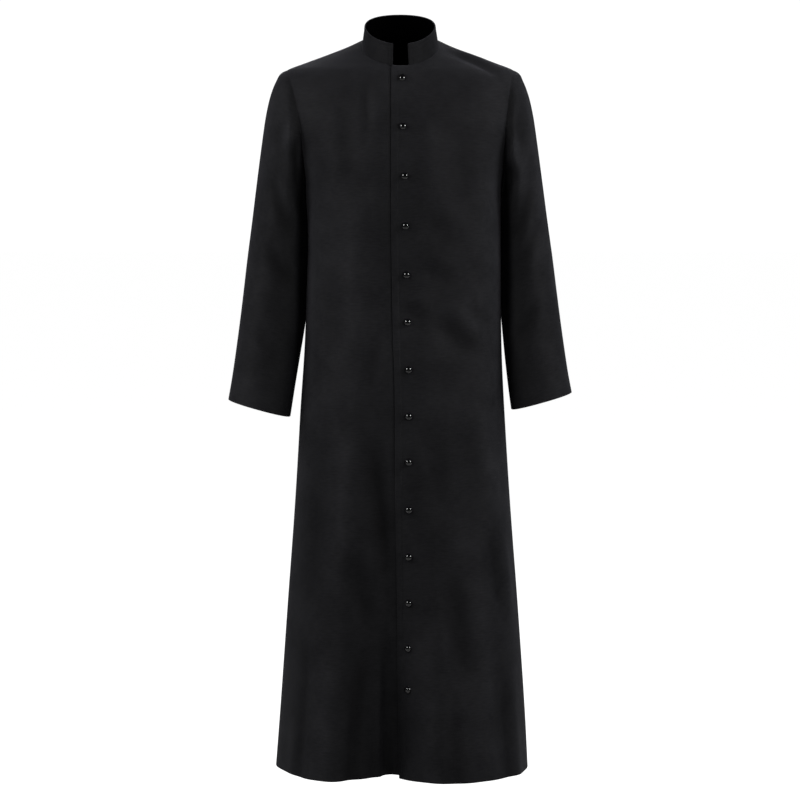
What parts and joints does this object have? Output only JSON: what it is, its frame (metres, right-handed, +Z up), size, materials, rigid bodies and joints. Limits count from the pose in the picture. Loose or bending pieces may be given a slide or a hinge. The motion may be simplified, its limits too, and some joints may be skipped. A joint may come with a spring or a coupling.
{
  "type": "cassock",
  "caption": "Long black single-breasted cassock with a notched stand collar, domed buttons to the ankle and plain long sleeves, filled out as worn",
  "frame": {"origin": "midway between the two points where the shoulders meet the neck, where the cassock rests on its wearer", "axes": "+X towards the wearer's left side, which is the viewer's right, +Y towards the wearer's back, so the front faces -Y, and +Z up"},
  "size_m": [0.6694, 0.372, 1.4721],
  "materials": {
    "cloth": "matte wool twill with a soft sheen",
    "button": "polished black domed plastic"
  },
  "bodies": {
    "root": {"front_left": "cloth", "front_right": "cloth", "back": "cloth", "sleeve_left": "cloth", "sleeve_right": "cloth", "collar": "cloth", "button_01": "button", "button_02": "button", "button_03": "button", "button_04": "button", "button_05": "button", "button_06": "button", "button_07": "button", "button_08": "button", "button_09": "button", "button_10": "button", "button_11": "button", "button_12": "button", "button_13": "button", "button_14": "button"}
  },
  "joints": []
}
